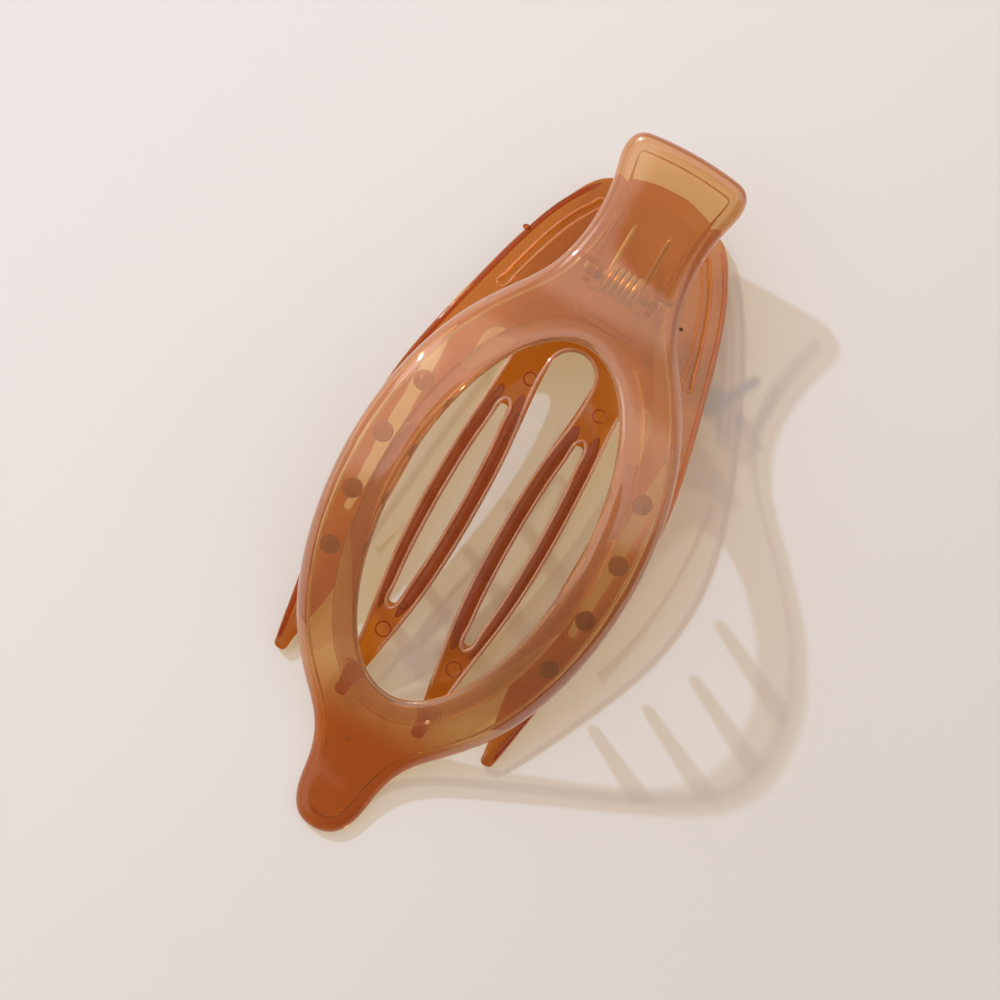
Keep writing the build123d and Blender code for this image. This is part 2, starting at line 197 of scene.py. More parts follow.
# Floor. A sheet of smooth off-white paper, laid flat under the clip and far past the picture. Its colour is
# painted a little lighter towards the lamp: painted light, standing in for the lamp's fall-off.
floor_half = 3.0
# Painted light: the paper's lit tone near the lamp and its shaded tone far from it.
paper_painted_lit, paper_painted_shade = (0.785, 0.75, 0.74), (0.64, 0.60, 0.555)
from_lamp, painted_light_fade = (0.94, -0.34, 0), (-0.13, 0.13)

floor_corners = [(x * floor_half, y * floor_half, 0) for x, y in ((-1, -1), (1, -1), (1, 1), (-1, 1))]
floor_mesh = bpy.data.meshes.new("floor")
floor_mesh.from_pydata(floor_corners, [], [(0, 1, 2, 3)])
floor = bpy.data.objects.new("floor", floor_mesh)
bpy.context.scene.collection.objects.link(floor)
shade = Shade(bpy.data.materials.new("floor_paper"))
place = shade.node("ShaderNodeTexCoord", out="Object")
floor_paper = shade.finish(shade.node("ShaderNodeBsdfPrincipled", {}, {
    "Base Color": shade.colours(shade.fade(place, from_lamp, *painted_light_fade), paper_painted_lit, paper_painted_shade),
    "Roughness": 0.75, "Specular IOR Level": 0.2,
}))
floor_mesh.materials.append(floor_paper)


# Upper jaw. One moulding of clear amber plastic: a curved shell with a deep rim round its edge and a thick
# rolled rim round the long opening. Its outline and side profile are those of the solid that it stands for.
mm = 0.001


def smooth_through(knots, values, at):
    """Natural cubic spline through rows of values. The second derivatives at the knots come from one linear
    system that makes slope and bend continuous, and each span is the cubic that they and its ends fix."""
    knots, values, at = (np.asarray(array, float) for array in (knots, values, at))
    values = values.reshape(len(knots), -1)
    gaps = np.diff(knots)[:, None]
    inner = np.arange(1, len(knots) - 1)
    system = np.eye(len(knots))
    system[inner, inner - 1] = gaps[:-1, 0]
    system[inner, inner] = 2 * (gaps[:-1, 0] + gaps[1:, 0])
    system[inner, inner + 1] = gaps[1:, 0]
    right = np.zeros_like(values)
    right[1:-1] = 6 * np.diff(np.diff(values, axis=0) / gaps, axis=0)
    bends = np.linalg.solve(system, right)
    span = np.clip(np.searchsorted(knots, at) - 1, 0, len(knots) - 2)
    before, after = (at - knots[span])[:, None], (knots[span + 1] - at)[:, None]
    gap = gaps[span]
    return ((bends[span] * after**3 + bends[span + 1] * before**3) / (6 * gap)
            + (values[span] / gap - bends[span] * gap / 6) * after
            + (values[span + 1] / gap - bends[span + 1] * gap / 6) * before)


def evenly_along(points, count, samples=40):
    """Points at equal steps of length along a smooth curve through the given ones, ends included. The length
    is that of the runs between many samples of the curve."""
    points = np.asarray(points, float)
    chord = np.r_[0, np.cumsum(np.linalg.norm(np.diff(points, axis=0), axis=1))]
    fine = smooth_through(chord, points, np.linspace(0, chord[-1], samples * len(points)))
    length = np.r_[0, np.cumsum(np.linalg.norm(np.diff(fine, axis=0), axis=1))]
    steps = np.linspace(0, length[-1], count)
    return np.stack([np.interp(steps, length, fine[:, axis]) for axis in range(points.shape[1])], axis=1)


def sideways(curve):
    """Unit normals of a closed plane curve that runs anticlockwise, pointing out of it: its tangent from the
    points on either side, turned a quarter turn to the right."""
    tangent = np.roll(curve, -1, axis=0) - np.roll(curve, 1, axis=0)
    tangent /= np.linalg.norm(tangent, axis=1)[:, None]
    return np.stack([tangent[:, 1], -tangent[:, 0]], axis=1)


weld_distance, sharp_angle = 1e-6, radians(50)


def closed_surface(name, points, material, body, wrap_rows=True):
    """Mesh of quads over a grid of points, rows by columns. The columns close on themselves. So do the rows,
    or else the first and the last shrink to a pole and are welded. Where the volume, summed over the quads'
    triangles, is negative, the faces are turned round, so that they all point outwards."""
    rows, columns = points.shape[:2]
    index = np.arange(rows * columns).reshape(rows, columns)
    below, above = (index, np.roll(index, -1, axis=0)) if wrap_rows else (index[:-1], index[1:])
    corners = (below, np.roll(below, -1, axis=1), np.roll(above, -1, axis=1), above)
    quads = np.stack(corners, axis=-1).reshape(-1, 4)
    vertices = points.reshape(-1, 3)
    faces = quads.tolist()
    a, b, c, d = (vertices[quads[:, corner]] for corner in range(4))
    volume = (np.cross(a, b) * c).sum() + (np.cross(a, c) * d).sum()
    mesh = bpy.data.meshes.new(name)
    mesh.from_pydata(vertices.tolist(), [], [face[::-1] for face in faces] if volume < 0 else faces)
    if not wrap_rows:
        welded = bmesh.new()
        welded.from_mesh(mesh)
        bmesh.ops.remove_doubles(welded, verts=welded.verts, dist=weld_distance)
        welded.to_mesh(mesh)
        welded.free()
    mesh.polygons.foreach_set("use_smooth", np.ones(len(mesh.polygons), bool))
    mesh.set_sharp_from_angle(angle=sharp_angle)
    mesh.materials.append(material)
    piece = bpy.data.objects.new(name, mesh)
    bpy.context.scene.collection.objects.link(piece)
    if body:
        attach(piece, body)
    return piece


# What is left of a lamp's light behind one wall, and how many surfaces it crosses there on average.
lamp_through, surfaces_crossed = (0.61, 0.44, 0.21), 2.5
polish, handling_marks, ripple_height = 0.02, 0.06, 0.0008
milk_drift, noise_middle, deep_shade_clearing = 0.10, 0.5, 0.6
rim_tint, rim_sheen, rim_milk = 0.62, 0.3, 0.11


def amber_plastic(name, glass, milk_colour, milk, waviness, deep_shade_glass=None, index=1.5, sheen=0.4,
                  deep_shade_way=((0, -1, 0), 0.036, 0.048), shines=None):
    """Clear tinted plastic with a milkiness that drifts slowly through it and a faintly wavy, polished skin.
    Along one way, given with where that starts and is full, it gets clearer and takes its deep tint, if it
    has one: a darker colour that is painted shade. Along another its sheen grows. In the rims tint, sheen
    and milkiness are all stronger. Lamps shine through it in a tint of their own."""
    shade = Shade(bpy.data.materials.new(name))
    place = shade.node("ShaderNodeTexCoord", out="Object")
    drift = shade.noise(place, 90)
    ripple = shade.noise(place, 170, detail=1, roughness=0.4)
    handling = shade.noise(place, 900, detail=3, roughness=0.6)
    rims = shade.node("ShaderNodeAttribute", {"attribute_name": "rims"}, out="Fac")
    # Painted shade: this share darkens the tint towards the deep colour and clears the milkiness along its
    # way.
    deep_shade = shade.fade(place, *deep_shade_way)
    waves = shade.node("ShaderNodeBump", {}, {
        "Height": ripple, "Strength": waviness, "Distance": ripple_height,
    })
    coat = (sheen + rim_sheen * rims) * shade.fade(place, *shines) if shines else sheen
    skin = {
        "Roughness": polish + handling_marks * handling, "IOR": index, "Coat Weight": coat, "Coat IOR": 1.6,
        "Coat Roughness": 0.03, "Normal": waves,
    }
    # The tint's depth joins the painted shade with the deeper tint of the rims.
    depth = deep_shade + (1 - deep_shade) * rim_tint * rims
    tint = shade.colours(depth, glass, deep_shade_glass) if deep_shade_glass else (*glass, 1)
    clear = shade.node("ShaderNodeBsdfPrincipled", {}, {
        "Base Color": tint, "Transmission Weight": 1.0, **skin,
    })
    milky = shade.node("ShaderNodeBsdfPrincipled", {}, {"Base Color": (*milk_colour, 1), **skin})
    cloud = (milk + milk_drift * (drift - noise_middle) + rim_milk * rims) * (1 - deep_shade_clearing * deep_shade)
    plastic = shade.node("ShaderNodeMixShader", {}, {0: cloud, 1: clear, 2: milky})
    surface_tint = [value ** (1 / surfaces_crossed) for value in lamp_through]
    window = shade.node("ShaderNodeBsdfTransparent", {}, {"Color": (*surface_tint, 1)})
    floor_ray = shade.node("ShaderNodeLightPath", out="Is Diffuse Ray")
    lamp_ray = shade.node("ShaderNodeLightPath", out="Is Shadow Ray")
    seen = shade.node("ShaderNodeMixShader", {}, {0: floor_ray, 1: plastic, 2: window})
    return shade.finish(shade.node("ShaderNodeMixShader", {}, {0: lamp_ray, 1: seen, 2: window}))


# Painted shade: the upper jaw's tint deepens towards the nose, which lies low over the floor in its own
# shadow.
upper_plastic = amber_plastic(
    "upper_amber_plastic", glass=(0.88, 0.54, 0.225), deep_shade_glass=(0.60, 0.138, 0.008),
    milk_colour=(0.62, 0.31, 0.13), milk=0.17, waviness=0.22, index=1.46, sheen=0.7,
    shines=((0, 1, 0), -0.050, -0.036),
)

crown_radius = 75.0
side_profile = np.array([
    (-66.1, 2.4), (-56.0, 3.2), (-46.0, 6.3), (-33.9, 13.9), (-20.0, 24.3), (-8.0, 31.3), (5.0, 33.4),
    (16.0, 31.9), (26.0, 27.4), (35.0, 22.1), (42.1, 20.5), (50.9, 20.5), (59.1, 21.0), (66.1, 22.0),
])


def upper_height(x, y):
    """Height of the upper jaw's top skin: its side profile along the clip, less the fall of a circle across
    it."""
    ridge = smooth_through(*side_profile.T, y.ravel()).reshape(y.shape)
    return ridge - (crown_radius - np.sqrt(crown_radius**2 - x**2))


lever_corner, lever_corner_radius = np.array([7.9, 61.1]), 3.4
corner_turn = np.radians([0, 30, 60, 90])
corner_arc = lever_corner + lever_corner_radius * np.column_stack([np.cos(corner_turn), np.sin(corner_turn)])
half_outline = np.array([
    (0, -65), (3.1, -64.2), (5.6, -60.5), (6.7, -54.4), (9.0, -48.6), (13.1, -43.9), (17.7, -38.6),
    (23.2, -27.9), (25.9, -17.3), (26.9, -5.3), (26.2, 5.4), (23.8, 16.0), (19.8, 25.3), (15.7, 31.7),
    (12.2, 37.3), (10.4, 42.8), (9.7, 49.5), (10.4, 55.8), *corner_arc, (4.0, 64.87), (0, 65),
])
half_count, fine_count = 220, 4000
mirror = np.array([-1, 1])

# The curve starts and ends three points past the middle line, on its far side, so that it crosses it square.
lead_in, lead_out = half_outline[3:0:-1] * mirror, half_outline[-2:-5:-1] * mirror
whole = evenly_along(np.vstack([lead_in, half_outline, lead_out]), fine_count)
nose, lever_end = (np.argmin(np.hypot(*(whole - tip).T)) for tip in (half_outline[0], half_outline[-1]))
right_side = whole[nose + np.linspace(0, lever_end - nose, half_count).astype(int)]
right_side[[0, -1], 0] = 0
outline = np.vstack([right_side, right_side[-2:0:-1] * mirror])

# The opening is an ellipse. Each point of the outline is joined to a place round it, given here as an angle
# against the outline's place along the clip.
opening_centre, opening_half_axes = np.array([0, -5.3]), np.array([16.3, 33.3])
facing_knots = np.array([
    (-65, -90), (-57, -83), (-46, -66), (-36, -47), (-5.3, 0), (22, 40), (34, 57), (48, 70), (61, 80),
    (65, 90),
])
facing = smooth_through(*facing_knots.T, right_side[:, 1])[:, 0]
facing = np.radians(np.clip(np.maximum.accumulate(facing), -90, 90))
facing[[0, -1]] = np.radians((-90, 90))
facing = np.r_[facing, np.pi - facing[-2:0:-1]]
facing_circle = np.column_stack([np.cos(facing), np.sin(facing)])
opening = opening_centre + opening_half_axes * facing_circle
opening_normal = opening_half_axes[::-1] * facing_circle
opening_normal /= np.linalg.norm(opening_normal, axis=1)[:, None]

wall, rim_depth, corner_ease = 1.4, 3.0, 0.15
edge_round, edge_drop, edge_blend, rim_width = 1.9, 1.8, 2.15, 2.4
roll_round, roll_drop, roll_under, roll_blend, roll_width = 2.6, 1.7, 1.2, 3.2, 3.9
quarter = np.radians(np.linspace(0, 90, 9))
across_top = np.linspace(0, 1, 25)


def row(from_edge=rim_width, from_opening=roll_width, share=0.0, depth=0.0, rim=0.0):
    """One line of the section: distance in from the outer edge, distance out from the opening, share of the
    way between those two lines, depth under the top skin, and share of the rim's own depth added to it."""
    return from_edge, from_opening, share, depth, rim


outer_edge = [row(from_edge=edge_round * (1 - cos(turn)), depth=edge_drop * (1 - sin(turn)))
              for turn in quarter]
outer_edge += [row(from_edge=edge_blend)]
top = [row(share=share) for share in across_top] + [row(from_opening=roll_blend, share=1)]
roll = [row(from_opening=roll_round * (1 - cos(turn)), share=1, depth=roll_drop * (1 - sin(turn)))
        for turn in quarter[::-1]]
roll += [row(from_opening=roll_under * (1 - cos(turn)), share=1, rim=1, depth=-roll_under * (1 - sin(turn)))
         for turn in quarter]
roll += [row(from_opening=roll_width - corner_ease, share=1, rim=1), row(share=1, rim=1, depth=-corner_ease)]
under = [row(share=1, depth=wall + corner_ease)]
under += [row(from_opening=roll_width + corner_ease, share=1, depth=wall)]
under += [row(share=share, depth=wall) for share in across_top[-2:0:-1]]
under += [row(from_edge=rim_width + corner_ease, depth=wall), row(depth=wall + corner_ease)]
outer_rim = [row(rim=1, depth=-corner_ease), row(from_edge=rim_width - corner_ease, rim=1)]
outer_rim += [row(from_edge=corner_ease, rim=1), row(from_edge=0, rim=1, depth=-corner_ease)]
section = np.array(outer_edge + top + roll + under + outer_rim)

# The outer rim widens along the neck to the lever, and the rims grow shallow towards the nose. They are
# tinted deeper on the outer three quarters of the rounded edge and on the roll.
neck_start, neck_end, lever_rim = 36, 52, 1.2
nose_rim = np.array([(-65, 0.68), (-50, 0.85), (-36, 1.0)])
smooth_reach = 3
rolled_share = 0.75

from_edge, from_opening, share, depth, rim = (column[:, None] for column in section.T)
rim_reach = rim_width * np.interp(outline[:, 1], [neck_start, neck_end], [1.0, lever_rim])
rim_line = outline - rim_reach[:, None] * sideways(outline)
rim_line = sum(np.roll(rim_line, step, axis=0) for step in range(-smooth_reach, smooth_reach + 1))
rim_line /= 2 * smooth_reach + 1
outer_line = outline[None] + (from_edge / rim_width)[..., None] * (rim_line - outline)[None]
inner_line = opening[None] + from_opening[..., None] * opening_normal[None]
plan = (1 - share[..., None]) * outer_line + share[..., None] * inner_line
rim_here = rim_depth * np.interp(plan[..., 1], *nose_rim.T)
height = upper_height(plan[..., 0], plan[..., 1]) - depth - rim * rim_here
upper_jaw = closed_surface("upper_jaw_shell", np.dstack([plan, height]) * mm, upper_plastic, "upper")
on_edge = (share == 0) & (from_edge < rolled_share * edge_round)
on_roll = (share == 1) & (from_opening < roll_width)
rims = upper_jaw.data.attributes.new("rims", "FLOAT", "POINT")
rims.data.foreach_set("value", np.repeat((on_edge | on_roll).ravel(), len(outline)).astype(float))
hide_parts("upper_jaw")


# Hinge ears, webs, ribs and stop wall of the upper jaw. They are moulded on its underside at the neck: the
# ears carry the pin, a short web braces each, a low rib runs back from each, and the wall stops the jaws
# against each other.
hinge_y, hinge_z = (value / mm for value in frame["joints"][0]["pos_m"][1:])
both_sides = ((-1, "left"), (1, "right"))
bar_power, bar_sides, bar_ease = 8, 48, 0.3


def round_circle(steps):
    """Cosines and sines of equal steps round a circle."""
    angle = np.linspace(0, 2 * np.pi, steps, endpoint=False)
    return np.cos(angle), np.sin(angle)


def rounded_bar(name, low, high, round_over):
    """Upright bar between two corners of a box. Its section is a superellipse of power 8: a circle's cosines
    and sines raised to 2 / 8, times the box's half sides. It is drawn in by round_over at both ends, in two
    steps, and each end closes in a point."""
    low, high = np.array(low), np.array(high)
    middle, half = (low + high) / 2, (high - low) / 2
    circle = np.column_stack(round_circle(bar_sides))
    squared = np.sign(circle) * np.abs(circle) ** (2 / bar_power)
    step = bar_ease * round_over
    inset = np.array([half[:2].max(), round_over, step, 0])
    climb = np.array([0, 0, step, round_over])
    inset, level = np.r_[inset, inset[::-1]], np.r_[low[2] + climb, high[2] - climb[::-1]]
    reach = np.maximum(half[:2] - inset[:, None], 0)
    plan = middle[:2] + squared[None] * reach[:, None]
    points = np.dstack([plan, np.broadcast_to(level[:, None], plan.shape[:2])])
    closed_surface(name, points * mm, upper_plastic, "upper", wrap_rows=False)


def under_plate(x, y):
    """Height of the middle of the upper jaw's wall at one place."""
    return float(upper_height(np.array([x]), np.array([y]))[0]) - wall / 2


ear_inner, ear_thickness, ear_round, ear_root, bore = 5.3, 1.2, 2.5, 3.2, 1.06
ear_sides, root_power, root_blend = 72, 0.3, 0.25
around = np.column_stack(round_circle(ear_sides))
raised = np.clip(around[:, 1:], 0, 1) ** root_blend
hung = np.array([hinge_y, hinge_z]) + ear_round * around
rooted = np.column_stack([
    hinge_y + ear_root * np.sign(around[:, 0]) * np.abs(around[:, 0]) ** root_power,
    np.full(ear_sides, under_plate(ear_inner, hinge_y)),
])
ear_edge = hung * (1 - raised) + rooted * raised
hole = np.array([hinge_y, hinge_z]) + bore * around

# Each bar's nearest and farthest reach from the clip's middle, front, back and foot, and the place along the
# clip where its top meets the plate.
ear_bars = {"ear_web": (6.0, 8.7, 40.85, 41.75, 15.0, 41.3), "ear_rib": (5.9, 6.5, 43.0, 51.5, 18.0, 48.0)}
ear_bar_round = 0.2
for side, side_name in both_sides:
    near, far = side * ear_inner, side * (ear_inner + ear_thickness)
    edges = ((near, ear_edge), (far, ear_edge), (far, hole), (near, hole))
    ear = np.stack([np.column_stack([np.full(ear_sides, x), edge]) for x, edge in edges])
    closed_surface(f"upper_ear_{side_name}", ear * mm, upper_plastic, "upper")
    for bar_name, (inner, outer, front, back, foot, seat) in ear_bars.items():
        left_x, right_x = sorted((side * inner, side * outer))
        bar_top = under_plate(outer, seat)
        rounded_bar(f"{bar_name}_{side_name}", (left_x, front, foot), (right_x, back, bar_top), ear_bar_round)

stop_half, stop_front, stop_back, stop_foot, stop_round = 6.1, 31.7, 33.5, 12.35, 0.3
stop_top = under_plate(stop_half, stop_back)
rounded_bar("upper_stop_wall", (-stop_half, stop_front, stop_foot), (stop_half, stop_back, stop_top),
            stop_round)


# Pegs. Eight round tapered pegs, moulded on the underside of the ring, hold the hair. They are so long that
# they look dark from above.
peg_plastic = amber_plastic("peg_amber_plastic", glass=(0.55, 0.18, 0.06), milk_colour=(0.34, 0.13, 0.06),
                            milk=0.75, waviness=0.05)

# Each peg's place on the right and its length. The profile is radius against share of the length.
peg_spots = np.array([(20.6, 9.9, 12.6), (22.2, -0.7, 12.7), (22.1, -11.1, 12.7), (20.9, -21.1, 10.3)])
peg_profile = np.array([
    (0.0, 0.0), (1.55, 0.0), (1.72, 0.02), (1.75, 0.06), (1.0, 0.95), (0.85, 0.985), (0.45, 1.0), (0.0, 1.0),
])
peg_sides, peg_gap = 36, 0.01
radius, along_peg = peg_profile.T[..., None]
peg_cos, peg_sin = round_circle(peg_sides)
for side, side_name in both_sides:
    for number, (peg_x, peg_y, peg_length) in enumerate(peg_spots, 1):
        x, y = side * peg_x + radius * peg_cos, peg_y + radius * peg_sin
        root = upper_height(x, y) - wall - peg_gap
        tip = upper_height(np.array([[peg_x]]), np.array([[peg_y]])) - wall - peg_length
        points = np.dstack([x, y, root * (1 - along_peg) + tip * along_peg])
        peg = closed_surface(f"peg_{side_name}_{number}", points * mm, peg_plastic, "upper", wrap_rows=False)


# Lower jaw. The comb is moulded of the same plastic. A rounded rib runs up each side of the slots in its
# fingers, and a fine welt runs round each slot and along each gap. The welts are of a paler plastic that
# paints in the highlight along those edges.
# Painted shade: the comb takes its deep tint everywhere except towards the right of its tail.
lower_plastic = amber_plastic(
    "lower_amber_plastic", glass=(0.90, 0.42, 0.12), deep_shade_glass=(0.66, 0.205, 0.014),
    milk_colour=(0.60, 0.26, 0.06), milk=0.16, waviness=0.2, index=1.33, sheen=1.0,
    deep_shade_way=((-1, -0.5, 0), -0.034, -0.010), shines=((1, 0, 0), -0.002, 0.014),
)
rib_plastic = amber_plastic("rib_amber_plastic", glass=(0.62, 0.24, 0.06), milk_colour=(0.36, 0.13, 0.05),
                            milk=0.30, waviness=0.05, index=1.33, sheen=0.0)
# Painted highlight: the welts' plastic is paler than the comb's, standing in for the light that catches them.
welt_highlight_plastic = amber_plastic("welt_painted_highlight_plastic", glass=(0.95, 0.66, 0.40), milk_colour=(0.80, 0.52, 0.36),
                             milk=0.30, waviness=0.05, index=1.57, sheen=1.0)
frame["nodes"]["lower_jaw"].material_slots[0].material = lower_plastic

# Places along the comb are shares of its length. The profile gives heights there, and the gaps' sides give
# distances from the middle line.
comb_front, comb_back, comb_crown_radius = -43.7, 59.0, 150.0
comb_length = comb_back - comb_front
comb_profile = np.array([
    (-0.022, 1.95), (0.023, 3.15), (0.114, 5.4), (0.25, 8.21), (0.391, 10.45), (0.529, 10.95), (0.669, 9.6),
    (0.796, 7.01), (0.912, 4.3), (1.01, 1.86),
])
middle_gap_side = np.array([(0, 6.4), (0.095, 5.07), (0.195, 3.37), (0.39, 2.35), (0.51, 2.93), (0.65, 4.01)])
side_gap_inner = np.array([(0.02, 8.61), (0.12, 9.48), (0.24, 11.14), (0.4, 11.85), (0.635, 10.67)])
slot_x, slot_front, slot_back, slot_half, slot_end_half = 7.29, 0.182, 0.556, 1.69, 0.65


def comb_height(x, share):
    """Height of the comb's top skin: its side profile along the comb, less the fall of a circle across it."""
    ridge = smooth_through(*comb_profile.T, share)[:, 0]
    return ridge - (comb_crown_radius - np.sqrt(comb_crown_radius**2 - x**2))


def bead(name, route, half_width, rise, sink, material, sides=20, fade=24, closed=False):
    """Long rounded bead on the comb. Its section is a flat ellipse, half_width to either side of the route,
    that stands rise above it and reaches sink under it. A closed route joins up with itself. On any other,
    with t running from -1 to 1 along it, the height goes by 1 less |t| to the power fade and the width by
    the square root of that, so both ends shrink to a point."""
    along = np.roll(route, -1, axis=0) - np.roll(route, 1, axis=0) if closed else np.gradient(route, axis=0)
    across = np.column_stack([along[:, 1], -along[:, 0], np.zeros(len(route))])
    across /= np.linalg.norm(across, axis=1)[:, None]
    sideward, upward = round_circle(sides)
    from_middle = np.zeros(len(route)) if closed else np.abs(np.linspace(-1, 1, len(route)))
    full = np.clip(1 - from_middle ** fade, 0, 1)[:, None]
    reach = np.broadcast_to(half_width, len(route))[:, None] * np.sqrt(full)
    points = route[:, None] + across[:, None] * (reach * sideward)[..., None]
    points[..., 2] += full * np.where(upward > 0, rise, sink) * upward
    closed_surface(name, points * mm, material, "lower", wrap_rows=closed)


def smoothed(line, steps=9):
    """Running mean of a line over so many steps, with its ends held."""
    return np.convolve(np.pad(line, steps // 2, mode="edge"), np.ones(steps) / steps, mode="valid")


# The ribs fill the space between gap and slot, less a margin. Past the slot's ends a narrow space keeps the
# two ribs of a finger apart.
rib_rise, rib_sink, rib_margin, rib_apart, rib_bury = 0.4, 0.3, 0.5, 0.12, 0.05
rib_before, rib_after, rib_steps, rib_fade = 0.02, 0.03, 90, 6
share = np.linspace(slot_front - rib_before, slot_back + rib_after, rib_steps)
off_middle = (share - slot_front) / (slot_back - slot_front) * 2 - 1
opened = slot_end_half + (slot_half - slot_end_half) * (1 - off_middle**2)
opened = np.maximum(np.where(np.abs(off_middle) < 1, opened, 0), rib_apart)
near_gap = smooth_through(*middle_gap_side.T, share)[:, 0]
far_gap = smooth_through(*side_gap_inner.T, share)[:, 0]
for rib_name, low, high in (("near_rib", near_gap, slot_x - opened), ("far_rib", slot_x + opened, far_gap)):
    low, high = smoothed(low), smoothed(high)
    for side, side_name in both_sides:
        x, y = side * (low + high) / 2, comb_front + share * comb_length
        route = np.column_stack([x, y, comb_height(x, share) - rib_bury])
        bead(f"{side_name}_finger_{rib_name}", route, (high - low) / 2 - rib_margin, rib_rise, rib_sink,
             rib_plastic, fade=rib_fade)

welt_half, welt_rise, welt_sink, welt_inset, welt_sides = 0.36, 0.34, 0.2, 0.38, 12


def welt(name, rows, count, closed=False):
    """Fine bead along a smooth curve on the comb's top, through rows of share along it and distance from its
    middle line. Where the curve is closed, its last point is its first again and is left out."""
    line = evenly_along(rows * np.array([comb_length, 1]), count)
    height = comb_height(line[:, 1], line[:, 0] / comb_length)
    route = np.column_stack([line[:, 1], comb_front + line[:, 0], height])
    route = route[:-1] if closed else route
    bead(name, route, welt_half, welt_rise, welt_sink, welt_highlight_plastic, sides=welt_sides, closed=closed)


gap_top_share, gap_top_radius = middle_gap_side[-1]
cap_radius, cap_turn = gap_top_radius + welt_inset, np.radians([30, 60, 90, 120, 150])
cap_share = gap_top_share + cap_radius * np.sin(cap_turn) / comb_length
cap = np.column_stack([cap_share, cap_radius * np.cos(cap_turn)])
right_gap = middle_gap_side[1:] + np.array([0, welt_inset])
across_middle = np.array([1, -1])
welt("middle_gap_welt", np.vstack([right_gap, cap, right_gap[::-1] * across_middle]), count=400)

# The loop round a slot is worked out for a quarter of it, at stations from its widest place to its back end
# and with a tip past that, and then mirrored across the slot and turned half round.
slot_middle, slot_reach = (slot_front + slot_back) / 2, (slot_back - slot_front) / 2
stations = np.array([0, 0.35, 0.65, 0.9, 1.0])
past_tip = 1.1176
slot_side = np.column_stack([
    slot_middle + slot_reach * stations,
    welt_inset + slot_end_half + (slot_half - slot_end_half) * (1 - stations**2),
])
quarter_loop = np.vstack([slot_side, (slot_back + past_tip / comb_length, 0)])
half_loop = np.vstack([quarter_loop, quarter_loop[-2::-1] * across_middle])
slot_loop = np.vstack([half_loop, (np.array([2 * slot_middle, 0]) - half_loop)[1:]])
for side, side_name in both_sides:
    on_side = np.array([1, side])
    welt(f"slot_welt_{side_name}", (slot_loop + np.array([0, slot_x])) * on_side, count=300, closed=True)
    welt(f"side_gap_welt_{side_name}", (side_gap_inner - np.array([0, welt_inset])) * on_side, count=200)


# Trim. A low welt follows the comb's edge, and a narrow raised loop on each side of its tail gives grip. The
# moulding tool has left small rings and a gate nub on it, and the plastic holds two dark specks, one of them
# in the nose.
edge_rows = np.array([
    (0.035, 20.9), (0.101, 21.9), (0.195, 23.5), (0.31, 25.4), (0.425, 26.15), (0.51, 25.8), (0.613, 24.05),
    (0.72, 21.4), (0.82, 18.6), (0.903, 15.2), (0.955, 11.6),
])
edge_half, edge_rise, edge_sink, edge_bury = 0.5, 0.3, 0.25, 0.12
grip_front, grip_outer, grip_inner, grip_end, grip_step = 0.66, 2.4, 3.9, 5, 9
grip_half, grip_rise, grip_sink, grip_lift, grip_sides = 0.28, 0.3, 0.2, 0.02, 12
# Painted light: the grip loops are a brighter orange than the comb, standing in for the light they catch.
grip_lit_plastic = amber_plastic("grip_painted_light_plastic", glass=(0.92, 0.48, 0.16), milk_colour=(0.80, 0.36, 0.12),
                             milk=0.28, waviness=0.05)


def inside_edge(inset, front=-1.0, count=140):
    """Route on the comb's top inside its edge, behind a front share: the edge's rows joined by a smooth
    curve, and each point moved in by inset at a right angle to it."""
    line = evenly_along(edge_rows[edge_rows[:, 0] > front] * np.array([comb_length, 1]), count)
    run = np.gradient(line, axis=0)
    run /= np.linalg.norm(run, axis=1)[:, None]
    share, x = (line[:, 0] + inset * run[:, 1]) / comb_length, line[:, 1] - inset * run[:, 0]
    return np.column_stack([x, comb_front + share * comb_length, comb_height(x, share)])


# The grip loop follows two routes inside the edge, through every ninth point of each, and turns round at
# their ends.
outer = inside_edge(grip_outer, front=grip_front)
inner = inside_edge(grip_inner, front=grip_front)[::-1]
foot = (outer[grip_end] + inner[-grip_end - 1]) / 2
grip_route = evenly_along(np.vstack([
    foot, outer[grip_end + 1:1 - grip_end:grip_step], inner[grip_end - 1:-grip_end - 1:grip_step], foot,
]), 220)
grip_route[:, 2] = comb_height(grip_route[:, 0], (grip_route[:, 1] - comb_front) / comb_length) + grip_lift
for side, side_name in both_sides:
    on_side = np.array([side, 1, 1])
    bead(f"comb_welt_{side_name}", inside_edge(0.0) * on_side - np.array([0, 0, edge_bury]), edge_half,
         edge_rise, edge_sink, lower_plastic)
    bead(f"grip_loop_{side_name}", grip_route * on_side, grip_half, grip_rise, grip_sink, grip_lit_plastic,
         sides=grip_sides)

# Each ring's middle and radius.
ring_marks = (
    (-6.3, -29.7, 1.3), (7.45, -29.7, 1.3), (-5.3, -24.6, 0.55), (-4.1, 12.4, 0.6), (-4.5, 10.2, 0.45),
    (-4.3, 8.6, 0.4), (5.2, 12.6, 0.6), (5.0, 10.6, 0.45), (4.6, 9.0, 0.4), (7.5, 19.5, 1.1),
    (-5.7, 19.2, 1.1),
)
ring_wire, ring_lift, ring_sides, ring_wire_sides = 0.14, 0.4, 30, 10


